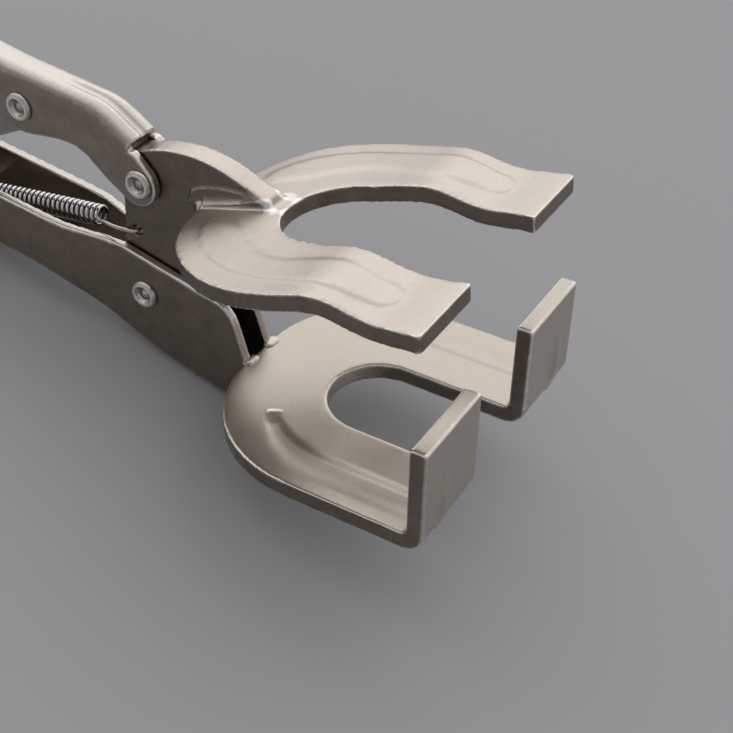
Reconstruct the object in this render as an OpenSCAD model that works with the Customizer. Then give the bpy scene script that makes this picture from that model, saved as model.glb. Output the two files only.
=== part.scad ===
// Welding locking pliers with two forked jaws, lying open as a welder puts them down.
// X runs from the handles to the jaws, Z is up from the ground, and the middle plane is y = 0.

/* [Pivots] */
// Height of the jaw pivot above the ground
pivot_h = 18; // [17:0.5:19]
// How far the lever pivot lies behind the jaw pivot
lever_back = 6.5; // [5.5:0.5:7.5]
// How far the lever pivot lies above the jaw pivot
lever_up = 32; // [31:0.5:33]
// Rise of the lever handle's axis to the rear, in degrees
lever_rise = 19.4; // [18:0.1:22]
// Distance from the lever pivot to the link pivot
lever_arm = 38; // [37:0.5:40]
// How far the link pivot hangs below the lever's axis
link_drop = 11.55; // [10.5:0.05:12.5]
// Length of the toggle link between its two ends' centres
link_len = 60; // [58:0.5:62]
// Fall of the toggle link to the rear, in degrees
link_fall = 41.38; // [40:0.02:43]

/* [Rivets] */
// Radius of the three main rivets' shanks
rivet_r = 2.5; // [2.2:0.1:2.8]
// Radius of their rolled heads
rivet_head_r = 4; // [3.7:0.1:4.3]
// How far a rolled head stands proud
rivet_head_h = 1.4; // [1:0.1:1.8]
// Radius of the small rivets' and the anchor pin's shanks
pin_r = 1.5; // [1.3:0.1:1.8]

/* [Fixed handle] */
// Thickness of the steel sheet of both handles
sheet = 2.5; // [2.2:0.1:2.7]
// Outer width of the fixed handle's grip
grip_w = 20; // [18:0.5:22]
// How far the fixed handle reaches behind the jaw pivot
handle_back = 116; // [114:0.5:122]
// Height of the walls at the jaw pivot
wall_h = 28.5; // [28:0.25:30]
// Radius of the rolled rear end
end_r = 8.5; // [7.5:0.25:9]
// Length of the rolled rear end
end_len = 13; // [10:0.5:15]

/* [Fixed jaw] */
// Outer width of both forks
fork_w = 75.6; // [72:0.2:80]
// Reach of the fixed jaw's front face from the jaw pivot
jaw_reach = 98.7; // [97:0.1:101]
// Height of the fixed jaw's top face at its front
jaw_h = 32.55; // [32:0.05:33.5]
// Rise of the fixed jaw to the front, in degrees
jaw_rise = 13.8; // [13:0.1:14.6]
// Length of the fixed jaw from its front face to its rear edge
plate_len = 68.5; // [67:0.25:70]
// Thickness of the fixed jaw's plate
plate_t = 4.5; // [3.5:0.1:5]
// Width of the slot between the fixed jaw's arms
slot_w = 25.6; // [22:0.2:28]
// Depth of that slot from the front face
slot_len = 45.6; // [42:0.2:48]
// Height of the two upturned flanges above the plate
flange_h = 24.5; // [22:0.25:27]
// Thickness of the flanges
flange_t = 4.4; // [3.4:0.1:4.6]
// Outer radius of the bend below a flange
bend_r = 5.5; // [5:0.25:6.5]
// Width of the groove pressed along each arm
groove_w = 5; // [4:0.25:6]
// Depth of that groove
groove_d = 1; // [0.5:0.1:1.5]

/* [Moving jaw] */
// Reach of the moving jaw's tips from the jaw pivot
tip_reach = 82.4; // [80:0.2:84]
// Height of the tips' top face
tip_h = 83.5; // [82.5:0.25:86]
// Rise of the moving jaw's fork to the front, in degrees
tip_rise = 19.1; // [18.4:0.1:20]
// Thickness of the upright spine
spine_t = 6; // [5:0.1:6.2]
// Thickness of the fork plate
fork_t = 4.5; // [3.5:0.1:5]
// Length of the fork from its tips to the rear of its lobes
fork_len = 78; // [76:0.25:79]
// Width of the slot between the moving jaw's arms
mouth_w = 27.6; // [24:0.2:31]
// Depth of that slot from the tips
mouth_len = 54.9; // [50:0.1:56]
// How far the spine's front end lies behind that slot
rib_back = 3.6; // [2.5:0.1:4.5]
// Radius of the coves between the spine and the fork
cove_r = 4; // [2:0.25:5]
// Height of the embossed panel on each arm
panel_h = 0.8; // [0.3:0.1:1.2]

/* [Lever handle] */
// Height of the lever's web above its axis
web_up = 8; // [7.6:0.1:9]
// Fall of the web behind its knee, in degrees
web_fall = 7; // [5:0.5:8]
// Where the web starts behind the lever pivot
web_start = 7.3; // [7:0.1:9]
// Length along the lever's web, from beside its pivot to its rear end
lever_len = 116; // [112:0.5:120]
// Depth of the lever's channel at its grip
lever_d = 14.6; // [14:0.1:16]
// Outer width of the lever's grip
lever_w = 16; // [13:0.5:18]
// Radius of the two ears round the lever pivot
ear_r = 5.9; // [5.6:0.1:6.2]

/* [Link, release and screw] */
// Radius of the toggle link's front end
link_r = 6.5; // [6:0.1:7]
// Radius of the toggle link's rear end
link_tip_r = 4.5; // [4:0.1:5]
// Thickness of the toggle link and of the release lever
link_t = 5; // [4.4:0.1:5.4]
// Where the release lever's rivet lies along the lever's web
release_at = 68; // [67:0.5:70]
// Length of the release lever's thumb tail behind its rivet
release_tail = 34; // [28:1:38]
// Outer radius of the adjusting screw
screw_r = 4; // [3.5:0.1:4.5]
// Pitch of its thread
screw_pitch = 1.25; // [1:0.25:1.5]
// Fall of the screw to the rear, in degrees
screw_fall = 2; // [1:0.25:3]
// Radius of the knurled knob
knob_r = 7.5; // [6.5:0.25:8]
// Length of the knob
knob_len = 16; // [12:0.5:18]
// Number of the knob's ridges
knob_ridges = 28; // [20:2:36]

/* [Spring] */
// Radius of the spring's coil at the middle of the wire
coil_r = 2.7; // [2.4:0.1:3]
// Diameter of the spring wire
wire_d = 1.1; // [0.9:0.05:1.1]
// Number of curls
curls = 22; // [16:1:22]
// Step from curl to curl
curl_step = 1.65; // [1.6:0.05:1.75]

/* [Hidden] */
$fn = 64;
run_gap = 0.06;
press_gap = 0.02;
side_gap = 0.3;
weld_gap = 0.02;
far = 200;
nose_w = spine_t + 2*side_gap + 2*sheet;
link_gap = 0.1;
lever_nose_w = link_t + 2*link_gap + 2*sheet;

// Directions in the side view, as X and Z
jaw_dir = [cos(jaw_rise), sin(jaw_rise)];
lever_dir = [-cos(lever_rise), sin(lever_rise)];
lever_up_dir = [sin(lever_rise), cos(lever_rise)];
screw_dir = [-cos(screw_fall), -sin(screw_fall)];

// Pivots in the side view: jaw, lever, link and the link's end on the screw
jaw_at = [0, pivot_h];
lever_at = jaw_at + [-lever_back, lever_up];
link_at = on_lever(sqrt(pow(lever_arm, 2) - pow(link_drop, 2)), -link_drop);
link_end = link_at - link_len*[cos(link_fall), sin(link_fall)];
anchor_at = [-62, 12];
spring_hole = [-6.8, pivot_h + 15.4];
spring_hole_r = 1.6;

// Screw, knob and rolled end along the screw's line, measured from the link's end
tip_gap = 0.4;
screw_tip = link_tip_r + tip_gap;
end_at = (handle_back + link_end[0])/cos(screw_fall);
knob_gap = 1.2;
knob_at = end_at + knob_gap;
spigot_r = screw_r - 0.6;
x_rear = link_end[0] + (knob_at + knob_len)*screw_dir[0] - knob_r*sin(screw_fall);
x_front = jaw_reach - bend_r*jaw_dir[0] - (bend_r - plate_t)*jaw_dir[1] + bend_r;
x_shift = -(x_front + x_rear)/2;

// Outline and section helpers
function arc(c, r, a0, a1, n = 10) =
    [for (i = [0:n]) c + r*[cos(a0 + (a1 - a0)*i/n), sin(a0 + (a1 - a0)*i/n)]];
function curve(a, b, c, n = 8) =
    [for (i = [0:n]) let (t = i/n) a*(1 - t)*(1 - t) + b*2*t*(1 - t) + c*t*t];
function flip(points) = [for (i = [len(points) - 1:-1:0]) [points[i][0], -points[i][1]]];
function clamp01(t) = min(max(t, 0), 1);
function ease(t) = (1 - cos(180*clamp01(t)))/2;
function bump(t) = (1 + cos(180*min(abs(t), 1)))/2;
function on_lever(s, d) = lever_at + s*lever_dir + d*lever_up_dir;
function on_jaw(s, d) = [jaw_reach, jaw_h] + s*jaw_dir + d*[-jaw_dir[1], jaw_dir[0]];
function unit(v) = v/norm(v);

// Flat piece of thickness t about y = 0, from an outline in X and Z
module upright(t) {
    rotate([90, 0, 0]) translate([0, 0, -t/2]) linear_extrude(t) children();
}

// Round bar or bore across the pliers, of radius r and length l
module cross_bar(at, r, l) {
    translate([at[0], 0, at[1]]) rotate([90, 0, 0]) cylinder(r = r, h = l, center = true);
}

// Shape drawn along the screw's line, whose Z runs rearwards from the link's end
module on_screw() {
    translate([link_end[0], 0, link_end[1]]) rotate([0, -90 - screw_fall, 0]) children();
}

// Ring of a channel's section: web at p, walls along dir, half width w, depth d, and a groove g deep
function channel_ring(p, dir, w, d, r, g = 0) =
    let (q = r - sheet, crease = [[-1.4, 0], [-0.8, g], [0.8, g], [1.4, 0]],
        outer = concat([[-w, d]], [for (a = [180:22.5:270]) [r - w + r*cos(a), r + r*sin(a)]], crease,
            [for (a = [270:22.5:360]) [w - r + r*cos(a), r + r*sin(a)]], [[w, d]]),
        inner = concat([[w - sheet, d]], [for (a = [360:-22.5:270]) [w - r + q*cos(a), r + q*sin(a)]],
            [for (i = [3:-1:0]) crease[i] + [0, sheet]],
            [for (a = [270:-22.5:180]) [r - w + q*cos(a), r + q*sin(a)]], [[sheet - w, d]]))
    [for (v = concat(outer, inner)) [p[0] + v[1]*dir[0], v[0], p[1] + v[1]*dir[1]]];

// Closed solid through a list of rings with the same number of points
module loft(rings) {
    n = len(rings[0]);
    m = len(rings);
    half = n/2;
    sides = [for (j = [0:m - 2], i = [0:n - 1], k = [0, 1]) k == 0
        ? [j*n + i, (j + 1)*n + i, j*n + (i + 1) % n]
        : [(j + 1)*n + i, (j + 1)*n + (i + 1) % n, j*n + (i + 1) % n]];
    first = [for (i = [0:half - 2], k = [0, 1]) k == 0
        ? [i, i + 1, n - 1 - i] : [i + 1, n - 2 - i, n - 1 - i]];
    last = [for (f = first) [f[2] + (m - 1)*n, f[1] + (m - 1)*n, f[0] + (m - 1)*n]];
    polyhedron([for (r = rings) each r], concat(sides, first, last));
}

// Fixed handle: floor line, wall tops and width along X, each eased over its corners
floor_line = [[-handle_back - 20, 3.6], [-98, 0], [-28, 7.8], [-16, 5.3], [-2, 1.9], [9, 0.4], [60, 0.3]];
top_line = [[-handle_back - 20, 16], [-98, 18.5], [-14, wall_h], [60, wall_h + 0.7]];
function eased(x, table, e = 7) = (lookup(x - e, table) + 2*lookup(x, table) + lookup(x + e, table))/4;
function floor_z(x) = max(eased(x, floor_line), x < -50 ? 0 : -far);
function wall_z(x) = eased(x, top_line);
function handle_half(x) = nose_w/2 + (grip_w - nose_w)/2*ease((-7 - x)/22)
    - (grip_w/2 - end_r + 0.7)*ease((-98 - x)/10);
function corner_r(x) = 2.9 + 2.7*ease((-7 - x)/22);
nose_x = 37.7;
rear_inset = 1.5;
handle_steps = 30;

// Outline of what the walls' front end leaves out: the round nose, the jaw's plate and the front
nose_r = 9;
nose_c = [19.3, wall_h - 8.3];
plate_seat = 6.5;
function nose_cut() = concat([[nose_c[0], far], nose_c + [0, nose_r]],
    arc(nose_c, nose_r, 90, 33),
    [on_jaw(-plate_len - weld_gap, 0), on_jaw(-plate_len - weld_gap, -plate_t - weld_gap),
    on_jaw(plate_seat - plate_len, -plate_t - weld_gap), [nose_x, floor_z(nose_x)], [nose_x, -far],
    [far, -far], [far, far]]);

module fixed_handle() {
    color([0.45, 0.41, 0.37]) difference() {
        union() {
            loft([for (i = [0:handle_steps])
                let (x = rear_inset - handle_back + (handle_back + nose_x + 6 - rear_inset)*i/handle_steps)
                channel_ring([x, floor_z(x)], [0, 1], handle_half(x), wall_z(x) - floor_z(x), corner_r(x))]);
            on_screw() translate([0, 0, end_at - end_len]) cylinder(r = end_r, h = end_len);
        }
        upright(nose_w + 2) polygon(nose_cut());
        cross_bar(jaw_at, rivet_r + press_gap, far);
        cross_bar(anchor_at, pin_r + press_gap, far);
        on_screw() cylinder(r = screw_r + run_gap, h = far);
    }
}

// Outline of a fork seen from above: slot to the front, lobes with corners of radius r to the rear.
// The lists give how far the slot's side and the arm's outer side are cut back along the arm.
function fork_outline(width, len, r, slot, depth, tip_r, inner = [[0, 0]], outer = [[0, 0]]) =
    let (w = width/2, s = slot/2, w1 = w - outer[0][1],
        half = concat([[-depth, 0]], arc([s - depth, 0], s, 174, 90, 12),
            [for (v = inner) [v[0], s + v[1]]], arc([-tip_r, w1 - tip_r], tip_r, 0, 90, 4),
            [for (i = [1:1:len(outer) - 1]) [outer[i][0], w - outer[i][1]]],
            arc([r - len, w - r], r, 90, 180, 12)))
    concat(half, flip([for (i = [1:len(half) - 1]) half[i]]));

// The fixed jaw's own frame: x = 0 on the front face, z = 0 on the plate's top
module at_fixed_jaw() {
    translate([jaw_reach, 0, jaw_h]) rotate([0, -jaw_rise, 0]) children();
}

// Side section of the fixed jaw: plate, bend and flange
bend_in = bend_r - flange_t;
function jaw_section() = concat([[-far, -plate_t]], arc([-bend_r, bend_r - plate_t], bend_r, -90, 0, 8),
    [[0, flange_h], [-flange_t, flange_h]], arc([-flange_t - bend_in, bend_in], bend_in, 0, -90, 4),
    [[-far, 0]]);

// Groove's middle line on one arm: round at the lobe, then straight to the flange
groove_y = 28.9;
groove_turn = 24;
groove_x = -32;
module groove_path() {
    c = [groove_x, groove_y - groove_turn];
    a0 = 141;
    linear_extrude(far) {
        translate(c + groove_turn*[cos(a0), sin(a0)]) circle(groove_w/2, $fn = 24);
        polygon(concat(arc(c, groove_turn + groove_w/2, a0, 90), [[far, groove_y + groove_w/2],
            [far, groove_y - groove_w/2]], arc(c, groove_turn - groove_w/2, 90, a0)));
    }
}

module fixed_jaw() {
    lobe_r = 32;
    color([0.76, 0.73, 0.69]) at_fixed_jaw() difference() {
        intersection() {
            upright(fork_w + 2) polygon(jaw_section());
            translate([0, 0, -far/2]) linear_extrude(far)
                polygon(fork_outline(fork_w, plate_len, lobe_r, slot_w, slot_len, 0.8));
        }
        for (m = [0, 1]) mirror([0, m, 0]) difference() {
            translate([0, 0, -groove_d]) groove_path();
            translate([-bend_r, -far, -far]) cube(2*far);
        }
    }
}

module weld_beads() {
    r = 1.7;
    corner = on_jaw(-plate_len, 0);
    wall_y = nose_w/2 - sheet/2;
    color([0.86, 0.84, 0.8]) for (m = [0, 1]) mirror([0, m, 0]) {
        difference() {
            for (i = [-1:1]) translate([corner[0] + 0.5, wall_y + i*0.9, corner[1] + 0.4]) sphere(r, $fn = 32);
            at_fixed_jaw() translate([-plate_len - weld_gap, -far, -plate_t - 5])
                cube([far, 2*far, plate_t + 5 + weld_gap]);
            upright(fork_w) offset(delta = weld_gap) difference() {
                translate([0, -1]) square([60, 40]);
                polygon(nose_cut());
            }
        }
        difference() {
            for (i = [0:3]) at_fixed_jaw()
                translate([1.4 + i*1.3 - plate_len, nose_w/2 + 0.2, -plate_t - 0.2]) sphere(1.5, $fn = 32);
            at_fixed_jaw() translate([-plate_len - 9, -far, -plate_t - weld_gap]) cube([far, 2*far, 20]);
            translate([-far, weld_gap - nose_w/2, -far]) cube([2*far, nose_w, 2*far]);
        }
    }
}

arm_inner = [[-36, 0.8], [-27, 0.9], [-14, 1.1], [-5, 1.5], [0, 1.2]];
arm_outer = [[0, 0.3], [-5, 0.5], [-10, 0.9], [-15, 1.3], [-20, 1.5], [-25, 1.3], [-30, 0.8], [-36, 0.2]];

// The moving jaw's own frame: x = 0 at the tips, z = 0 on the fork's top
module at_moving_jaw() {
    translate([tip_reach, 0, tip_h]) rotate([0, -tip_rise, 0]) children();
}
function on_fork(s, d) = [tip_reach, tip_h] + s*[cos(tip_rise), sin(tip_rise)]
    + d*[-sin(tip_rise), cos(tip_rise)];

// Side outline of the spine: round the jaw pivot, up the rear, round the lever pivot, along the rib
rib_h = -0.1;
pivot_r = 7;
crown_r = 7.7;
function spine_outline() = let (
        crown_c = lever_at + [0.2, 0.4],
        crest = on_fork(-68, 3.4),
        rib_end = -mouth_len - rib_back,
        belly = on_fork(-mouth_len, -fork_t))
    concat(arc(jaw_at, pivot_r, -20, -175, 12), [jaw_at + [-9.3, 7.7], [-12.4, jaw_at[1] + 24.3]],
        arc(crown_c, crown_r, 188, 105, 8),
        curve(crown_c + crown_r*[cos(105), sin(105)], crest + [-14, 1.5], crest, 8),
        curve(crest, on_fork(rib_end - 5.3, 1.1), on_fork(rib_end - 1.9, rib_h), 6),
        [on_fork(rib_end - 0.6, rib_h - 0.5), on_fork(rib_end, rib_h - 1.7), on_fork(rib_end + 0.6, -3.6),
        on_fork(-mouth_len, -3.8), belly],
        curve(belly, jaw_at + [20, 14], jaw_at + [6.9, -1], 8));

// Side profile of the fork plate: it dips behind the tips, rises to a hump and falls away to the rear
fork_wave = [[-80, -5.8], [-66, -3], [-56, -2.3], [-46, -1.4], [-37, 0], [-26, 2.4], [-13, -0.9], [-3, 0.1], [6, 0]];
function fork_z(u) = (lookup(u - 5, fork_wave) + 2*lookup(u - 2.5, fork_wave) + 3*lookup(u, fork_wave)
    + 2*lookup(u + 2.5, fork_wave) + lookup(u + 5, fork_wave))/9;
fork_stations = [for (i = [0:27]) 3 - 3*i];
function fork_band(low, high) = concat([for (u = fork_stations) [u, high + fork_z(u)]],
    [for (i = [len(fork_stations) - 1:-1:0]) [fork_stations[i], low + fork_z(fork_stations[i])]]);
module fork_slab(low, high) {
    intersection() {
        upright(fork_w + 2) polygon(fork_band(low, high));
        translate([0, 0, -far/2]) linear_extrude(far) children();
    }
}

// Embossed panel on one arm: a long rounded field along the arm's outer half, wider at its root
function panel_outline() = concat(curve([-60, 13], [-53, 20.5], [-46, 22.7]), curve([-41, 23.2], [-30, 20], [-19, 21.9]),
    arc([-14.5, 26], 4.1, -75, 75, 8), curve([-19, 30.4], [-28, 31.2], [-42, 31.2]),
    curve([-49, 30.5], [-60, 28], [-66.7, 19.6]), curve([-69, 16], [-71.5, 11], [-66, 10.2], 5));

// Ring of a cove's section at u along the fork, between the plate's face at height z and the spine
function cove_ring(u, z, r) = let (y = spine_t/2, k = 0.6)
    [for (v = concat([for (a = [270:-15:180]) [y + r + r*cos(a), z + r + r*sin(a)]],
        [for (i = [3:-1:1]) [y - k, z + r*i/3]], [[y - k, z - k]], [for (i = [1:3]) [y + r*i/3, z - k]]))
    [u, v[0], v[1]]];
cove_sink = 0.06;
cove_stations = concat([0.6 - fork_len],
    [for (i = [26:-1:20]) if (fork_stations[i] < -mouth_len - rib_back - 3) fork_stations[i]],
    [-mouth_len - rib_back - 2]);

module moving_jaw() {
    color([0.76, 0.73, 0.69]) difference() {
        union() {
            upright(spine_t) polygon(spine_outline());
            at_moving_jaw() {
                fork_slab(-fork_t, 0) polygon(fork_outline(fork_w - 1, fork_len, 35, mouth_w, mouth_len, 1.2,
                    arm_inner, arm_outer));
                for (m = [0, 1]) mirror([0, m, 0]) {
                    fork_slab(-1, panel_h) polygon(panel_outline());
                    loft([for (u = cove_stations) cove_ring(u, fork_z(u) - cove_sink, cove_size(u))]);
                    mirror([0, 0, 1]) loft([for (u = cove_stations)
                        cove_ring(u, fork_t - fork_z(u) - cove_sink, 0.8*cove_size(u))]);
                }
            }
        }
        cross_bar(jaw_at, rivet_r + run_gap, far);
        cross_bar(lever_at, rivet_r + run_gap, far);
        cross_bar(spring_hole, spring_hole_r, far);
    }
}
function cove_size(u) = cove_r*(0.35 + 0.65*ease((-mouth_len - rib_back - 2 - u)/8));

// Lever handle: the web rises behind the pivot, turns over at its knee and runs on to the rear
web_angles = [[0, lever_rise], [15.5, lever_rise], [22.5, -web_fall], [44, -web_fall], [56, -2], [lever_len, -4]];
wall_angles = [[0, lever_rise], [46, -3], [lever_len, -4]];
ear_back = 11.5;
stations = concat([web_start, ear_back], [for (s = [15:1:24]) s], [for (s = [27:3:lever_len - 2]) s], [lever_len]);
function web_point(i) = i == 0 ? on_lever(web_start, web_up)
    : let (s0 = stations[i - 1], s1 = stations[i], a = lookup((s0 + s1)/2, web_angles))
    web_point(i - 1) + (s1 - s0)*[-cos(a), sin(a)];
function web_at(s) = let (i = len([for (q = stations) if (q <= s) q]) - 1, a = lookup(s, web_angles))
    web_point(i) + (s - stations[i])*[-cos(a), sin(a)];
link_station = web_start + 1.02*(web_point(0)[0] - link_at[0]);
link_room = web_at(link_station)[1] - link_at[1] + link_r + 0.8 - lever_d;
web_groove = 0.7;
grip_from = 72;
function lever_depth(s) = lever_d + link_room*bump((s - link_station)/17) - 2.5*ease((s - lever_len + 9)/9);
function lever_half(s) = lever_nose_w/2 + (nose_w - lever_nose_w)/2*(1 - ease((s - ear_back)/12))
    + (lever_w - lever_nose_w)/2*ease((s - grip_from)/18);

// Outline of an ear, along and above the lever's axis: it runs on from the wall with an S in its front edge
function ear_outline() = concat([[ear_back, 4.4], [web_start, 4.7], [5.8, 6], [4.2, 5.9], [2.3, 5.4], [0.3, 5], [-1.6, 4.5]],
    arc([0.6, -1.2], ear_r, 180 - 60, 180 + 80, 9), [[6, -7.1], [ear_back, web_up - lever_d]]);

module lever_handle() {
    color([0.72, 0.69, 0.65]) difference() {
        union() {
            loft([for (i = [0:len(stations) - 1])
                let (s = stations[i], a = lookup(s, wall_angles))
                channel_ring(web_point(i), [-sin(a), -cos(a)], lever_half(s), lever_depth(s), 3.2,
                    web_groove*(1 - ease((s - 24)/12)))]);
            for (m = [0, 1]) mirror([0, m, 0]) translate([0, (nose_w - sheet)/2, 0])
                upright(sheet) polygon([for (v = ear_outline()) on_lever(v[0], v[1])]);
        }
        cross_bar(lever_at, rivet_r + press_gap, far);
        cross_bar(link_at, rivet_r + press_gap, far);
        cross_bar(release_pin, pin_r + press_gap, far);
    }
}
release_hub = 3.6;
release_pin = web_at(release_at) - [0, sheet + 0.4 + release_hub];

// Rivet with a rolled head at each end, across a channel of outer width w
module rolled_rivet(at, w, shank, head, proud) {
    translate([at[0], 0, at[1]]) rotate([90, 0, 0]) {
        cylinder(r = shank, h = w, center = true);
        for (m = [0, 1]) mirror([0, 0, m]) translate([0, 0, w/2]) rotate_extrude()
            polygon(concat([[0, 0]], arc([head - proud*0.55, 0], proud*0.55, 0, 0, 1),
                arc([head - proud*0.8, proud*0.2], proud*0.8, 0, 110, 8), [[head*0.42, proud*0.15], [0, proud*0.15]]));
    }
}

module jaw_pivot_rivet() {
    color([0.8, 0.78, 0.74]) rolled_rivet(jaw_at, nose_w, rivet_r, rivet_head_r, rivet_head_h);
}

module lever_pivot_rivet() {
    color([0.8, 0.78, 0.74]) rolled_rivet(lever_at, nose_w, rivet_r, rivet_head_r, rivet_head_h);
}

module link_rivet() {
    color([0.8, 0.78, 0.74]) rolled_rivet(link_at, lever_nose_w, rivet_r, rivet_head_r, rivet_head_h);
}

module release_rivet() {
    color([0.8, 0.78, 0.74]) rolled_rivet(release_pin, lever_nose_w, pin_r, pin_r + 1.1, 0.8);
}

module spring_anchor() {
    color([0.8, 0.78, 0.74]) rolled_rivet(anchor_at, grip_w, pin_r, pin_r + 1.1, 0.8);
}

// Flat toggle link, round at both ends, whose rear end bears on the screw's tip
module toggle_link() {
    taper = asin((link_r - link_tip_r)/link_len);
    color([0.5, 0.48, 0.45]) difference() {
        translate([link_at[0], 0, link_at[1]]) rotate([0, 180 - link_fall, 0]) upright(link_t)
            polygon(concat(arc([0, 0], link_r, 90 - taper, 270 + taper, 20),
                arc([link_len, 0], link_tip_r, -90 + taper, 90 - taper, 14)));
        cross_bar(link_at, rivet_r + run_gap, far);
    }
}

// Release lever: nose above the link, rivet, and a thumb tail that curls down at its end
module release_lever() {
    h = release_hub;
    t = release_tail;
    color([0.6, 0.58, 0.55]) difference() {
        upright(link_t) polygon([for (v = concat(
            arc([0, 0], h, 50, 110, 5), curve([-4, 3.2], [-7, 3.2], [-9, 2.4], 4),
            arc([-9.3, 1.3], 1, 100, 250, 5), curve([-8, 0.2], [-5, -0.6], [-3, -2.2], 4),
            arc([0, 0], h, 235, 290, 4),
            curve([8, -3.3], [t - 9, -4.5], [t, -10], 7), arc([t + 1.1, -8.8], 1.6, -120, 40, 6),
            curve([t, -5.6], [t - 12, 0.8], [6, 1.8], 7)))
            release_pin + [-v[0], v[1]]]);
        cross_bar(release_pin, pin_r + run_gap, far);
    }
}

// Threaded rod with a domed tip and a plain spigot for the knob
module adjusting_screw() {
    teeth = floor((knob_at - screw_tip - 5)/screw_pitch);
    depth = 0.6*screw_pitch;
    color([0.7, 0.7, 0.7]) on_screw() rotate_extrude() polygon(concat(
        [[0, screw_tip]], arc([0, screw_tip + 2], 2, -60, 0, 4),
        [[screw_r - depth, screw_tip + 3.6]],
        [for (i = [0:teeth - 1], k = [0, 1]) [screw_r - (k == 0 ? depth : 0), screw_tip + 4 + (i + k/2)*screw_pitch]],
        [[screw_r - depth, knob_at - 0.4], [spigot_r, knob_at - 0.4], [spigot_r, knob_at + knob_len - 2],
        [0, knob_at + knob_len - 2]]));
}

// Knurled knob on the screw's spigot
module screw_knob() {
    color([0.75, 0.74, 0.72]) on_screw() translate([0, 0, knob_at]) difference() {
        intersection() {
            linear_extrude(knob_len) polygon([for (i = [0:2*knob_ridges - 1])
                (knob_r - 0.5*(i % 2))*[cos(180*i/knob_ridges), sin(180*i/knob_ridges)]]);
            rotate_extrude() polygon([[0, 0], [knob_r - 1.5, 0], [knob_r + 0.1, 1.6], [knob_r + 0.1, knob_len - 1.6],
                [knob_r - 1.5, knob_len], [0, knob_len]]);
        }
        translate([0, 0, -1]) cylinder(r = spigot_r + run_gap, h = knob_len - 0.6);
    }
}

// Spring's frame: along its axis, up and across, from the front curl to the anchor
coil_front = [-19.8, 28.3];
wire_turn = 1.2;
axis = unit(anchor_at - coil_front);
along = [axis[0], 0, axis[1]];
upward = [axis[1], 0, -axis[0]];
leg_r = sqrt(pow(coil_r, 2) - pow(wire_turn, 2));
turn_angle = asin(wire_turn/coil_r);
function in3(p, y = 0) = [p[0], y, p[1]];

// Each item is a point of the wire's middle line and a direction square to the wire there
face_y = -spine_t/2 - wire_d/2 - 0.35;
hook_dir = in3(unit(coil_front - spring_hole));
front_leg = let (r = 1.3, h = in3(spring_hole))
    concat([[h + [0, 1.6, 0], -hook_dir], [h + [0, 0.2, 0], -hook_dir], [h + [0, face_y + r, 0], -hook_dir]],
    [for (a = [22.5:22.5:90]) [h + (1 - cos(a))*r*hook_dir + [0, face_y + r - r*sin(a), 0],
        -cos(a)*hook_dir + [0, -sin(a), 0]]],
    [[h + 6.6*hook_dir + [0, face_y, 0], [0, -1, 0]],
    [in3(coil_front, -leg_r) - (wire_turn + 1.1)*along, [0, -1, 0]]]);
front_turn = [for (a = [0:30:60]) [in3(coil_front, -leg_r) - wire_turn*(1 - sin(a))*along
    + wire_turn*(1 - cos(a))*upward, [0, -1, 0]]];
coil = [for (i = [0:8*curls])
    let (a = turn_angle + (360*curls + 90 - 2*turn_angle)*i/(8*curls),
        out = [0, -cos(a), 0] + sin(a)*upward)
    [in3(coil_front) + curl_step*(a - turn_angle)/360*along + coil_r*out, out]];
coil_end = in3(coil_front) + curl_step*(curls + (90 - 2*turn_angle)/360)*along;
rear_turn = [for (a = [30:30:90]) [coil_end + leg_r*upward + wire_turn*(1 - cos(a))*along
    + [0, -wire_turn*(1 - sin(a)), 0], upward]];
rear_leg = let (r = leg_r, c = in3(anchor_at))
    concat([for (a = [0:30:180]) let (out = cos(a)*upward + sin(a)*along) [c + r*out, out]],
    [[c - r*upward - 1.6*along, -upward]]);
wire = concat(front_leg, front_turn, coil, rear_turn, rear_leg);

// Least gap between stretches of the wire that aren't next to each other
wire_gap = min([for (i = [0:len(wire) - 8], j = [i + 7:len(wire) - 1]) norm(wire[i][0] - wire[j][0])]) - wire_d;

module tension_spring() {
    echo(least_gap_of_the_wire_to_itself = wire_gap);
    n = len(wire);
    points = [for (i = [0:n - 1]) let (
            t = unit(wire[min(i + 1, n - 1)][0] - wire[max(i - 1, 0)][0]),
            u = unit(wire[i][1] - (wire[i][1]*t)*t), v = cross(t, u))
        for (k = [0:5]) wire[i][0] + wire_d/2*(cos(60*k)*u + sin(60*k)*v)];
    sides = [for (i = [0:n - 2], k = [0:5], h = [0, 1]) h == 0
        ? [6*i + k, 6*i + (k + 1) % 6, 6*i + 6 + k]
        : [6*i + (k + 1) % 6, 6*i + 6 + (k + 1) % 6, 6*i + 6 + k]];
    caps = [for (k = [1:4]) [0, k + 1, k]];
    tail = [for (k = [1:4]) [6*n - 6, 6*n - 6 + k, 6*n - 5 + k]];
    color([0.85, 0.85, 0.85]) polyhedron(points, concat(sides, caps, tail));
}

module placed() {
    translate([x_shift, 0, 0]) children();
}

placed() fixed_handle();
placed() fixed_jaw();
placed() weld_beads();
placed() moving_jaw();
placed() lever_handle();
placed() jaw_pivot_rivet();
placed() lever_pivot_rivet();
placed() tension_spring();
placed() spring_anchor();
placed() toggle_link();
placed() link_rivet();
placed() release_lever();
placed() release_rivet();
placed() adjusting_screw();
placed() screw_knob();
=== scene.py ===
import math

import bpy
import numpy as np
from mathutils import Matrix, Vector, noise


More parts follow.
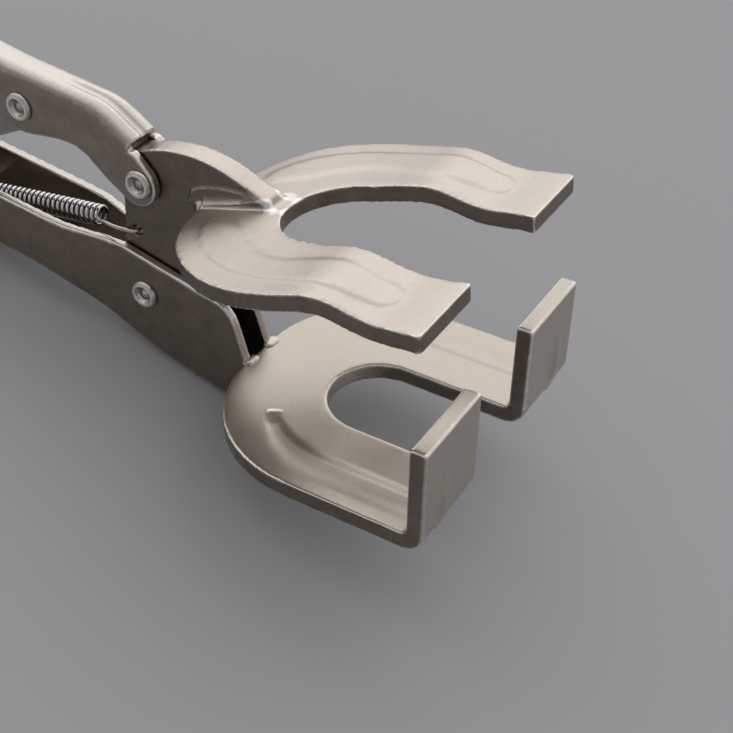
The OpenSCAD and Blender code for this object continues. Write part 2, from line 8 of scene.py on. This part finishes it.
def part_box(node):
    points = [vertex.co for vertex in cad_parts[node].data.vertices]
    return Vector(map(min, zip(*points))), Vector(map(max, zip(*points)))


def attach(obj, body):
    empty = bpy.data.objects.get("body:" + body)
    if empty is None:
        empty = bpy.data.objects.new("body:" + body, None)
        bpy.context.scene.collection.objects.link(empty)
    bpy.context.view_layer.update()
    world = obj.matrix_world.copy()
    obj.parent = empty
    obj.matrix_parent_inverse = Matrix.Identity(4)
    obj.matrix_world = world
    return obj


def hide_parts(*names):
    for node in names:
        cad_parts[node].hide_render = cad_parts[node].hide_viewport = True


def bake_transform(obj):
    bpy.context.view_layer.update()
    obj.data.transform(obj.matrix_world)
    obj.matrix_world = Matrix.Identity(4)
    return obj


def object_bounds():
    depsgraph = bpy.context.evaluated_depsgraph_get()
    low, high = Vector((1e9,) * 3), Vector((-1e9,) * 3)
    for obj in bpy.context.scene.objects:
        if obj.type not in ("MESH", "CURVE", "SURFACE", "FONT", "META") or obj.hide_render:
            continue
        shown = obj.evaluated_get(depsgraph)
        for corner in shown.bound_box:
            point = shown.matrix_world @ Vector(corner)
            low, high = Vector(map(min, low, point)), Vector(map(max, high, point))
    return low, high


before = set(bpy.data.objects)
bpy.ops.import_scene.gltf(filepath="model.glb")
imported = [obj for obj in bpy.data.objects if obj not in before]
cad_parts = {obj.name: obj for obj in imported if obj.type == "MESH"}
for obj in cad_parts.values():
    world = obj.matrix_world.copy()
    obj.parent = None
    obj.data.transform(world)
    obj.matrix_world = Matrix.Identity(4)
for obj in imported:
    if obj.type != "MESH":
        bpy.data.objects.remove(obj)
cad_low, cad_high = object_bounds()

# The view. The pliers are seen from the front right, from above the tips. The camera's place was
# worked out from the two square flanges and the four arm ends, and is measured from the jaw pivot.
low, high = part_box("jaw_pivot_rivet")
jaw_pivot = (low + high) / 2
camera_data = bpy.data.cameras.new("camera")
camera_data.lens = 68.76
camera_data.sensor_width = 36
camera_data.clip_start = 0.01
camera = bpy.data.objects.new("camera", camera_data)
bpy.context.collection.objects.link(camera)
camera_right = Vector((0.82983, 0.5118, 0.22236))
camera_up = Vector((-0.50617, 0.52266, 0.68601))
camera_back = Vector((0.23488, -0.68183, 0.69278))
camera_place = jaw_pivot + Vector((0.140565, -0.230788, 0.247948))
camera_turn = Matrix((camera_right, camera_up, camera_back)).transposed().to_4x4()
camera.matrix_world = Matrix.Translation(camera_place) @ camera_turn
bpy.context.scene.camera = camera

# Floor and light. A plain pale floor under a wide soft sky, brightest high up at the back left, as a
# window behind the bench gives, and one broad lamp there for the soft shadows under the jaws.
bpy.context.scene.view_settings.view_transform = "Standard"
bpy.ops.object.select_all(action="DESELECT")
bpy.ops.mesh.primitive_plane_add(size=5, location=(0, 0, 0))
floor = bpy.context.object
floor.name = "floor"
floor_paint = bpy.data.materials.new("floor_paint")
floor_paint.use_nodes = True
floor_shader = floor_paint.node_tree.nodes["Principled BSDF"]
floor_shader.inputs["Base Color"].default_value = (0.44, 0.44, 0.45, 1)
floor_shader.inputs["Roughness"].default_value = 0.9
floor.data.materials.append(floor_paint)

sky = bpy.data.worlds.new("sky")
sky.use_nodes = True
bpy.context.scene.world = sky
sky_nodes = sky.node_tree.nodes
sky_links = sky.node_tree.links
sky_place = sky_nodes.new("ShaderNodeTexCoord")
sky_side = sky_nodes.new("ShaderNodeVectorMath")
sky_side.operation = "DOT_PRODUCT"
window_side = (-0.45, 0.72, 0.53)
sky_side.inputs[1].default_value = window_side
sky_ramp = sky_nodes.new("ShaderNodeValToRGB")
sky_ramp.color_ramp.elements[0].position = 0.0
sky_ramp.color_ramp.elements[0].color = (0.38, 0.38, 0.39, 1)
sky_ramp.color_ramp.elements[1].position = 0.85
sky_ramp.color_ramp.elements[1].color = (0.98, 0.98, 1.0, 1)
sky_links.new(sky_place.outputs["Generated"], sky_side.inputs[0])
sky_links.new(sky_side.outputs["Value"], sky_ramp.inputs["Fac"])
sky_links.new(sky_ramp.outputs["Color"], sky_nodes["Background"].inputs["Color"])
sky_nodes["Background"].inputs["Strength"].default_value = 1.0

lamp_data = bpy.data.lights.new("window", "AREA")
lamp_data.shape = "RECTANGLE"
lamp_data.size = 1.5
lamp_data.size_y = 0.9
lamp_data.energy = 1.4
lamp = bpy.data.objects.new("window", lamp_data)
bpy.context.collection.objects.link(lamp)
lamp.location = (-0.75, 1.15, 0.95)
lamp.rotation_euler = (Vector((0, 0, 0.03)) - lamp.location).to_track_quat("-Z", "Y").to_euler()


# Fixed handle. A channel pressed from 2.5 mm steel sheet, open at the top, with a rolled end for the
# screw. It is plated all over in a satin nickel. Its bends and edges are brightened, partly as wear and
# partly as painted highlight, and its walls and hollows are painted darker as shade.
def pick(piece):
    bpy.ops.object.select_all(action="DESELECT")
    piece.select_set(True)
    bpy.context.view_layer.objects.active = piece


def finish_modifiers(piece):
    pick(piece)
    for name in [m.name for m in piece.modifiers]:
        bpy.ops.object.modifier_apply(modifier=name)


def own_copy(name, node):
    """The CAD node's mesh as a new piece, with its loose triangles joined up."""
    piece = bpy.data.objects.new(name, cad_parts[node].data.copy())
    bpy.context.collection.objects.link(piece)
    piece.data.materials.clear()
    pick(piece)
    bpy.ops.object.mode_set(mode="EDIT")
    bpy.ops.mesh.select_all(action="SELECT")
    bpy.ops.mesh.remove_doubles(threshold=0.000002)
    bpy.ops.object.mode_set(mode="OBJECT")
    return piece


def plated_copy(name, node, grain, passes, rise=0.0):
    """One even skin over the CAD node, with its edges rounded off as plating and handling do."""
    piece = own_copy(name, node)
    level = Matrix.Rotation(math.radians(rise), 4, "Y")
    piece.data.transform(level)
    skin = piece.modifiers.new("skin", "REMESH")
    skin.mode = "VOXEL"
    skin.voxel_size = grain
    skin.use_smooth_shade = True
    round_off = piece.modifiers.new("round_off", "SMOOTH")
    round_off.factor = 0.5
    round_off.iterations = passes
    finish_modifiers(piece)
    piece.data.transform(level.inverted())
    return piece


def points_and_normals(mesh):
    points = np.empty(len(mesh.vertices) * 3, np.float32)
    mesh.vertices.foreach_get("co", points)
    normals = np.empty(len(mesh.vertices) * 3, np.float32)
    mesh.vertex_normals.foreach_get("vector", normals)
    return points.reshape(-1, 3), normals.reshape(-1, 3)


def set_points(mesh, points):
    mesh.vertices.foreach_set("co", points.astype(np.float32).ravel())
    mesh.update()


def set_layer(mesh, name, values):
    layer = mesh.attributes.get(name) or mesh.attributes.new(name, "FLOAT", "POINT")
    layer.data.foreach_set("value", np.clip(values, 0, 1).astype(np.float32))


def mark_wear_and_painted_light(piece, spread, forward=(1.0, 0.0, 0.0), front_share=0.45, painted_highlight=0.0):
    """Three layers: rubbed edges and spots, bright as wear and painted highlight; hollows and upright walls, painted
    shade.
    """
    mesh = piece.data
    points, normals = points_and_normals(mesh)
    ends = np.empty(len(mesh.edges) * 2, np.int32)
    mesh.edges.foreach_get("vertices", ends)
    a, b = ends.reshape(-1, 2).T
    count = len(points)
    share = np.maximum(np.bincount(a, minlength=count) + np.bincount(b, minlength=count), 1)
    step = points[a] - points[b]
    length = np.maximum(np.linalg.norm(step, axis=1), 1e-9)
    proud = np.bincount(a, (normals[a] * step).sum(1) / length, count)
    proud -= np.bincount(b, (normals[b] * step).sum(1) / length, count)
    proud /= share
    for _ in range(spread):
        around = np.bincount(a, proud[b], count) + np.bincount(b, proud[a], count)
        proud = (proud + around / share) / 2
    edge_gain = 5
    # Rubbed edges: part wear, part painted highlight. Hollows and upright walls: painted shade.
    set_layer(mesh, "wear_and_highlight", proud * edge_gain + painted_highlight)
    set_layer(mesh, "painted_hollow_shade", -proud * edge_gain)
    set_layer(mesh, "wall", normals[:, 1] ** 2 + front_share * (normals @ np.array(forward, np.float32)) ** 2)


def plated_steel(name, face, wall, worn_edge_highlight, rough, grit=0.12, grit_size=1700.0, hollow_shade_amount=0.2, wear_and_highlight_from=0.35):
    """Satin nickel: face colour, walls painted darker as shade, rubbed edges bright as wear and painted highlight,
    hollows painted darker as shade, fine blasted grain.
    """
    material = bpy.data.materials.new(name)
    material.use_nodes = True
    nodes = material.node_tree.nodes
    links = material.node_tree.links
    shader = nodes["Principled BSDF"]
    shader.inputs["Metallic"].default_value = 1.0
    place = nodes.new("ShaderNodeTexCoord")

    def grains(scale, detail, roughness):
        node = nodes.new("ShaderNodeTexNoise")
        node.inputs["Scale"].default_value = scale
        node.inputs["Detail"].default_value = detail
        node.inputs["Roughness"].default_value = roughness
        links.new(place.outputs["Object"], node.inputs["Vector"])
        return node.outputs["Fac"]

    def layer(attribute):
        node = nodes.new("ShaderNodeAttribute")
        node.attribute_name = attribute
        return node.outputs["Fac"]

    def blend(factor, low_colour, high_colour):
        node = nodes.new("ShaderNodeMix")
        node.data_type = "RGBA"
        colours = [socket for socket in node.inputs if socket.type == "RGBA"]
        for socket, value in zip((node.inputs["Factor"], *colours), (factor, low_colour, high_colour)):
            if isinstance(value, tuple):
                socket.default_value = (*value, 1)
            else:
                links.new(value, socket)
        return [socket for socket in node.outputs if socket.type == "RGBA"][0]

    def ranged(value, low_in, high_in, low_out, high_out):
        node = nodes.new("ShaderNodeMapRange")
        node.inputs["From Min"].default_value = low_in
        node.inputs["From Max"].default_value = high_in
        node.inputs["To Min"].default_value = low_out
        node.inputs["To Max"].default_value = high_out
        links.new(value, node.inputs["Value"])
        return node.outputs["Result"]

    def sums(kind, first, second):
        node = nodes.new("ShaderNodeMath")
        node.operation = kind
        for socket, value in zip(node.inputs, (first, second)):
            if isinstance(value, float):
                socket.default_value = value
            else:
                links.new(value, socket)
        return node.outputs[0]

    def shade(colour, by):
        return tuple(min(1.0, by * c) for c in colour)

    cloud = grains(55.0, 4.0, 0.6)
    speck = grains(grit_size, 2.0, 0.7)
    smear = grains(260.0, 3.0, 0.6)
    # Rubbed edges and spots turn to the edge colour: partly wear, partly painted highlight.
    wear_and_highlight = ranged(sums("ADD", layer("wear_and_highlight"), sums("MULTIPLY", smear, 0.4)), wear_and_highlight_from, wear_and_highlight_from + 0.5, 0.0, 1.0)
    body = blend(ranged(cloud, 0.3, 0.7, 0.0, 1.0), shade(face, 0.94), shade(face, 1.05))
    # Upright walls get the darker wall colour: painted shade.
    side = blend(ranged(smear, 0.3, 0.7, 0.0, 1.0), shade(wall, 0.86), shade(wall, 1.12))
    colour = blend(ranged(layer("wall"), 0.25, 0.9, 0.0, 1.0), body, side)
    colour = blend(ranged(speck, 0.35, 0.65, 0.0, 0.1), colour, (0.16, 0.14, 0.12))
    # Hollows are darkened towards a shade of the face colour: painted shade.
    colour = blend(ranged(layer("painted_hollow_shade"), 0.15, 0.9, 0.0, hollow_shade_amount), colour, shade(face, 0.22))
    colour = blend(wear_and_highlight, colour, worn_edge_highlight)
    links.new(colour, shader.inputs["Base Color"])
    dull = ranged(cloud, 0.3, 0.7, rough - 0.04, rough + 0.06)
    links.new(sums("SUBTRACT", dull, sums("MULTIPLY", wear_and_highlight, rough * 0.45)), shader.inputs["Roughness"])
    bump = nodes.new("ShaderNodeBump")
    bump.inputs["Strength"].default_value = grit
    bump.inputs["Distance"].default_value = 0.0002
    grain = sums("ADD", speck, sums("MULTIPLY", smear, 0.8))
    links.new(sums("MULTIPLY", grain, ranged(layer("wall"), 0.15, 0.6, 0.45, 2.0)), bump.inputs["Height"])
    links.new(bump.outputs["Normal"], shader.inputs["Normal"])
    return material


# Wall colours are painted shade on upright faces; the edge colour is wear and painted highlight.
nickel_face = (0.63, 0.566, 0.494)
nickel_wall = (0.23, 0.19, 0.153)
nickel_worn_edge_highlight = (0.86, 0.825, 0.78)
handle_wall = (0.29, 0.24, 0.195)
handle = plated_copy("handle_channel", "fixed_handle", 0.0004, 9)
mark_wear_and_painted_light(handle, 2)
handle.data.materials.append(plated_steel("handle_plate", nickel_face, handle_wall, nickel_worn_edge_highlight, 0.34))
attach(handle, "root")
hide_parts("fixed_handle")


# Fixed jaw. A fork pressed from 4.5 mm plate, whose two arms turn up into square flanges. A groove is
# pressed along each arm and runs on as a low rib round the bend on to the flange's outer face.
def smooth_relief(piece, inside, passes):
    """Only the marked points of a pressed relief are smoothed, so that the plate's edges stay."""
    group = piece.vertex_groups.new(name="relief")
    group.add([int(i) for i in np.nonzero(inside)[0]], 1.0, "REPLACE")
    soften = piece.modifiers.new("soften", "SMOOTH")
    soften.factor = 0.5
    soften.iterations = passes
    soften.vertex_group = group.name
    finish_modifiers(piece)
    piece.vertex_groups.clear()


def ramp(value, start, end):
    return np.clip((value - start) / (end - start), 0, 1)


def near(offset, width, power=2):
    return np.exp(-(np.abs(offset / width) ** power))


def sheared_edge(points, normals, depth):
    """How far each point of a plate's cut side stands out: ragged, and most at the lower rim."""
    ragged = np.zeros(len(points), np.float32)
    for i in np.nonzero((np.abs(normals[:, 1]) > 0.4) & (depth > 0.0002))[0]:
        place = Vector(points[i])
        ragged[i] = 0.7 * noise.noise(place * 420) + 0.5 * noise.noise(place * 1300)
    return 0.00018 * ragged * np.clip(depth / 0.004, 0.15, 1)


def directions(rise):
    turn = math.radians(rise)
    forward = np.array((math.cos(turn), 0, math.sin(turn)), np.float32)
    up = np.array((-math.sin(turn), 0, math.cos(turn)), np.float32)
    return forward, up


jaw_rise = 13.8
jaw_corner = np.array(jaw_pivot) + np.array((0.0987, 0, 0.01455))
bend_ahead, bend_across, bend_radius = -0.032, 0.0049, 0.024
groove_side = 0.0289
groove_inner, groove_outer = -0.0088, 0.0068
groove_back, groove_front = -0.0535, -0.0056
groove_deep = 0.00045
slot_end = -0.0328
slot_half = 0.0128
# A darker copy of the nickel face for the lower fork: painted shade.
lower_face_shaded = (0.53, 0.474, 0.407)
fixed_jaw = plated_copy("lower_fork", "fixed_jaw", 0.00042, 5, jaw_rise)
jaw_forward, jaw_up = directions(jaw_rise)


def jaw_place(points):
    """Ahead, above the plate and across; then out from the groove's line, and degrees round its bend."""
    ahead = (points - jaw_corner) @ jaw_forward
    above = (points - jaw_corner) @ jaw_up
    across = np.abs(points[:, 1])
    back, out = ahead - bend_ahead, across - bend_across
    beside = np.where(back < 0, np.hypot(back, out) - bend_radius, across - groove_side)
    return ahead, above, across, beside, np.where(back < 0, np.abs(np.degrees(np.arctan2(out, back))), 90)


# The groove's ground is levelled first, and the soft groove is pressed into it, widening from its start.
points, normals = points_and_normals(fixed_jaw.data)
ahead, above, across, beside, turned = jaw_place(points)
in_groove = (beside > groove_inner) & (beside < groove_outer) & (np.abs(above + 0.0004) < 0.0012)
in_groove &= (ahead > groove_back) & (ahead < groove_front) & (turned < 160)
points -= jaw_up * (above * in_groove)[:, None]
set_points(fixed_jaw.data, points)
smooth_relief(fixed_jaw, in_groove, 30)
points, normals = points_and_normals(fixed_jaw.data)
ahead, above, across, beside, turned = jaw_place(points)
spread = ramp(turned, 136, 106)
inner_side = ramp(beside, -0.003 - 0.0018 * spread, -0.0004 - 0.0014 * spread)
outer_side = ramp(beside, 0.0028 + 0.0028 * spread, 0.0006 - 0.001 * spread)
side = np.where(beside < -0.0004, inner_side, outer_side)
depth = groove_deep * side ** 2 * (3 - 2 * side) * ramp(turned, 146, 137)
points -= jaw_up * (depth * in_groove)[:, None]

# The rib on the flange's outer face, the ragged cut sides and the slot's rounded rim.
rib = near(across - groove_side, 0.0017) * np.clip((normals @ jaw_forward) * 1.6, 0, 1)
rib *= ramp(above, 0.0155, 0.0065) * ramp(ahead, -0.008, -0.004)
points += normals * (0.0009 * rib)[:, None]
points += normals * sheared_edge(points, normals, np.clip(-above, -1, 0.004))[:, None]
points[:, 0] = np.minimum(points[:, 0], cad_high.x)
points[:, 1] = np.clip(points[:, 1], cad_low.y, cad_high.y)
set_points(fixed_jaw.data, points)
smooth_relief(fixed_jaw, in_groove, 4)
off_slot = np.where(ahead < slot_end, np.hypot(ahead - slot_end, across), across) - slot_half
smooth_relief(fixed_jaw, (np.abs(off_slot) < 0.0013) & (above > -0.0016) & (above < 0.001), 14)
# The groove's start notch is painted bright: a painted highlight.
notch = 1.3 * near(turned - 146.8, 1.9, 4) * near(beside + 0.0004, 0.0019, 4) * (points[:, 1] < 0)
mark_wear_and_painted_light(fixed_jaw, 2, jaw_forward, 0.2, notch)
lower_plate_shaded = plated_steel("lower_plate_shaded", lower_face_shaded, nickel_wall, nickel_worn_edge_highlight, 0.31,
                           grit=0.3, grit_size=1500.0, hollow_shade_amount=0.04, wear_and_highlight_from=0.45)
fixed_jaw.data.materials.append(lower_plate_shaded)
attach(fixed_jaw, "root")
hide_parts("fixed_jaw")

# Weld beads. Short beads that join the fork's rear edge to the handle's two walls, and are plated
# over with the rest; painted highlights along their rounded tops make them look like bright drops.
weld = plated_copy("weld_drops", "weld_beads", 0.0002, 14)
points, normals = points_and_normals(weld.data)
above = (points - jaw_corner) @ jaw_up
points -= jaw_up * (0.72 * np.maximum(above, 0))[:, None]
set_points(weld.data, points)
mark_wear_and_painted_light(weld, 1)
weld_metal = plated_steel("weld_metal", (0.62, 0.57, 0.51), (0.4, 0.35, 0.3), (0.86, 0.83, 0.78), 0.3,
                          grit=0.4, grit_size=900.0, hollow_shade_amount=0.05)
weld.data.materials.append(weld_metal)
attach(weld, "root")
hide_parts("weld_beads")

# Moving jaw. An upright spine with a forged fork across it, whose arms rise to a hump and dip again
# behind the tips. Each arm has a low panel, and a pad lies along the spine above the fork.
tip_rise = 19.1
tip_corner = np.array(jaw_pivot) + np.array((0.0824, 0, 0.0655))
fork_wave = ((-80, -66, -56, -46, -37, -26, -13, -3, 6), (-5.8, -3, -2.3, -1.4, 0, 2.4, -0.9, 0.1, 0))
pad_line = ((6.6, 8.8, 10.7, 14.7, 18.7, 22.3, 26), (55.4, 57.4, 58.5, 60.6, 62.1, 62.9, 63.2))
seam_line = ((12, 25.5), (54.8, 63.2))
# Spots on the spine and the fork's rear that are painted bright as highlights.
highlight_spots = (((10.6, 4.0, 52.0), 2.5), ((27.6, 4.0, 63.2), 2.6), ((29.8, 3.0, 64.8), 2.0))
moving_jaw = plated_copy("upper_fork", "moving_jaw", 0.00042, 5, tip_rise)
tip_forward, tip_up = directions(tip_rise)
points, normals = points_and_normals(moving_jaw.data)
ahead = (points - tip_corner) @ tip_forward
station = ahead * 1000
weights = ((-5, 1), (-2.5, 2), (0, 3), (2.5, 2), (5, 1))
wave = sum(weight * np.interp(station + shift, *fork_wave) for shift, weight in weights) / 9000
proud = (points - tip_corner) @ tip_up - wave
across = np.abs(points[:, 1])
on_arm = (normals @ tip_up > 0.3) & (proud > -0.00007) & (proud < 0.0011) & (across > 0.0085)
points -= tip_up * (0.45 * np.clip(proud, 0, 0.001) * on_arm)[:, None]

# The pad, the seam along its foot and the lump at the fork's rear corner, placed in millimetres
# ahead of the jaw pivot and above a level 18 mm below it.
side_x = (points[:, 0] - jaw_pivot.x) * 1000
side_z = (points[:, 2] - jaw_pivot.z) * 1000 + 18
below_line = ramp(np.interp(side_x, *pad_line) - side_z, 0, 0.5)
on_spine = np.clip(np.abs(normals[:, 1]) * 1.5 - 0.3, 0, 1) * (across < 0.006)
pad_area = ramp(side_x, 6.2, 6.7) * ramp(side_x, 27, 24) * ramp(proud, -0.0002, 0.0004) * on_spine
seam = near(side_z - np.interp(side_x, *seam_line), 0.5) * ramp(side_x, 10, 12) * on_spine
corner = near(side_x - 10.4, 1.5) * near(side_z - 52.0, 1.6) * on_spine
outward = 0.0006 * below_line * pad_area + 0.0004 * seam + 0.0022 * corner
points[:, 1] += np.sign(points[:, 1]) * outward
points += normals * (sheared_edge(points, normals, -proud) * (across > 0.008))[:, None]
points[:, 1] = np.clip(points[:, 1], cad_low.y, cad_high.y)
set_points(moving_jaw.data, points)
smooth_relief(moving_jaw, on_arm, 9)
smooth_relief(moving_jaw, on_arm & (across < 0.0262) & (station < -13), 24)
smooth_relief(moving_jaw, (across < 0.0046) & (side_x > 20.5) & (side_x < 30) & (proud > -0.0006), 22)
# Painted highlights along the seam, along the pad's edge and at the bright spots.
painted_highlight = 0.45 * seam + 1.6 * below_line * (1 - below_line) * pad_area
for middle, radius in highlight_spots:
    off = np.stack((side_x, across * 1000, side_z), 1) - middle
    painted_highlight += 1.1 * near(np.linalg.norm(off, axis=1), radius, 4)
mark_wear_and_painted_light(moving_jaw, 2, tip_forward, 0.9, painted_highlight)
upper_plate = plated_steel("upper_plate", nickel_face, nickel_wall, nickel_worn_edge_highlight, 0.34,
                           grit=0.24, grit_size=1500.0, hollow_shade_amount=0.04, wear_and_highlight_from=0.55)
moving_jaw.data.materials.append(upper_plate)
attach(moving_jaw, "moving_jaw")
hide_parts("moving_jaw")

# Lever handle. A second channel pressed from the same sheet, open below, with a crease along its back
# and two ears that are riveted to the spine. It takes a lighter copy of the nickel, painted light on
# its back and walls.
lever = plated_copy("lever_channel", "lever_handle", 0.0004, 6)
mark_wear_and_painted_light(lever, 2)
# A lighter copy of the nickel for the lever: painted light.
lever_plate_lit = plated_steel("lever_plate_lit", (0.68, 0.63, 0.57), (0.36, 0.3, 0.25), nickel_worn_edge_highlight, 0.28,
                           grit=0.2, grit_size=1100.0)
lever.data.materials.append(lever_plate_lit)
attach(lever, "lever")
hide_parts("lever_handle")

# Rivets and anchor pin. Steel rivets whose ends are rolled over into rings round a sunk centre. The
# ring is painted bright as a highlight, and the groove round the centre painted dark as shade.
rivet_metal = plated_steel("rivet_metal", (0.68, 0.64, 0.59), (0.55, 0.51, 0.46), (0.95, 0.93, 0.9), 0.16,
                           grit=0.3, grit_size=1200.0, hollow_shade_amount=0.95)
ring_profile = ((0.0, 0.5), (0.14, 0.46), (0.24, 0.16), (0.4, 0.04), (0.5, 0.35), (0.58, 0.85), (0.7, 1.0),
                (0.84, 0.86), (0.95, 0.55), (1.0, 0.25), (0.97, 0.02))
rivets = (("jaw_pivot_rivet", "root", 0.0025, 0.0014), ("lever_pivot_rivet", "lever", 0.0025, 0.0014),
          ("link_rivet", "lever", 0.0025, 0.0014), ("release_rivet", "lever", 0.0015, 0.0008),
          ("spring_anchor", "root", 0.0015, 0.0008))


def rolled_rivet(name, node, shank, proud):
    """Spun from the middle of one end to the middle of the other, at the CAD rivet's place."""
    low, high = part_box(node)
    middle = (low + high) / 2
    head = (high.x - low.x) / 2
    hub = 0.06 * head
    face = (high.y - low.y) / 2 - proud
    ring = [(r * head, -face - h * proud) for r, h in ring_profile]
    steps = ring + [(shank, -face + 0.0001), (shank, face - 0.0001)] + [(r, -y) for r, y in reversed(ring)]
    bpy.ops.object.select_all(action="DESELECT")
    bpy.ops.mesh.primitive_circle_add(vertices=48, radius=hub, fill_type="NGON",
                                      location=(middle.x, ring[0][1], middle.z), rotation=(math.radians(90), 0, 0))
    piece = bpy.context.object
    piece.name = name
    bpy.ops.object.transform_apply(location=True, rotation=True, scale=True)
    bpy.ops.object.mode_set(mode="EDIT")
    bpy.ops.mesh.select_all(action="SELECT")
    width, depth = hub, ring[0][1]
    for radius, y in steps[1:] + [(hub, -ring[0][1])]:
        radius = max(radius, hub)
        bpy.ops.mesh.extrude_region_move(TRANSFORM_OT_translate={"value": (0, y - depth, 0)})
        bpy.ops.transform.resize(value=(radius / width, 1, radius / width), center_override=(middle.x, y, middle.z))
        width, depth = radius, y
    bpy.ops.mesh.select_all(action="SELECT")
    bpy.ops.mesh.remove_doubles(threshold=0.000002)
    bpy.ops.mesh.normals_make_consistent(inside=False)
    bpy.ops.object.mode_set(mode="OBJECT")
    rounded = piece.modifiers.new("rounded", "SUBSURF")
    rounded.levels = 2
    rounded.render_levels = 2
    finish_modifiers(piece)
    bpy.ops.object.shade_smooth()
    return piece


for node, body, shank, proud in rivets:
    rivet = rolled_rivet(node + "_rolled", node, shank, proud)
    mark_wear_and_painted_light(rivet, 1)
    low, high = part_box(node)
    middle = (low + high) / 2
    points, normals = points_and_normals(rivet.data)
    radius = np.hypot(points[:, 0] - middle.x, points[:, 2] - middle.z) / (high.x - middle.x)
    # Painted shade in the groove round the sunk centre, and a painted highlight on the ring.
    set_layer(rivet.data, "painted_hollow_shade", 1 - np.abs(radius - 0.36) / 0.13)
    set_layer(rivet.data, "wear_and_highlight", 1 - np.abs(radius - 0.72) / 0.14)
    rivet.data.materials.append(rivet_metal)
    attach(rivet, body)
    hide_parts(node)

# Tension spring. Bright drawn wire wound in close curls, hooked into the spine at the front and round
# the anchor pin in the handle at the back.
spring = own_copy("coil_wire", "tension_spring")
bpy.ops.object.mode_set(mode="EDIT")
bpy.ops.mesh.tris_convert_to_quads(face_threshold=1.2, shape_threshold=1.2)
bpy.ops.object.mode_set(mode="OBJECT")
round_wire = spring.modifiers.new("round_wire", "SUBSURF")
round_wire.levels = 2
round_wire.render_levels = 2
full_width = spring.modifiers.new("full_width", "DISPLACE")
full_width.mid_level = 0.0
full_width.strength = 0.00005
finish_modifiers(spring)
bpy.ops.object.shade_smooth()
mark_wear_and_painted_light(spring, 0)
spring_metal = plated_steel("spring_metal", (0.5, 0.485, 0.46), (0.2, 0.19, 0.18), (0.8, 0.79, 0.77), 0.16,
                            grit=0.08, grit_size=2500.0)
spring.data.materials.append(spring_metal)
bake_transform(spring)
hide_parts("tension_spring")

# Toggle link and release lever. Two flat pieces cut from 5 mm steel: the link pushes on the screw's
# tip, and the release lever's nose pushes the link back down. Both turn on the lever's rivets.
link_metal = plated_steel("link_metal", (0.5, 0.48, 0.45), (0.42, 0.4, 0.375), (0.78, 0.76, 0.73), 0.36, grit=0.2)
for name, node in (("link_bar", "toggle_link"), ("thumb_lever", "release_lever")):
    flat = plated_copy(name, node, 0.0003, 3)
    mark_wear_and_painted_light(flat, 2)
    flat.data.materials.append(link_metal)
    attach(flat, node)
    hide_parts(node)

# Adjusting screw and knob. A turned and threaded rod with a knurled head pressed on its rear end,
# both in bright plated steel.
screw_metal = plated_steel("screw_metal", (0.6, 0.59, 0.57), (0.48, 0.47, 0.45), (0.82, 0.81, 0.79), 0.26, grit=0.15)
screw_pieces = (("threaded_rod", "adjusting_screw", 0.0002, 1), ("knurled_head", "screw_knob", 0.00022, 2))
for name, node, grain, passes in screw_pieces:
    turning = plated_copy(name, node, grain, passes)
    mark_wear_and_painted_light(turning, 1)
    turning.data.materials.append(screw_metal)
    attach(turning, node)
    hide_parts(node)
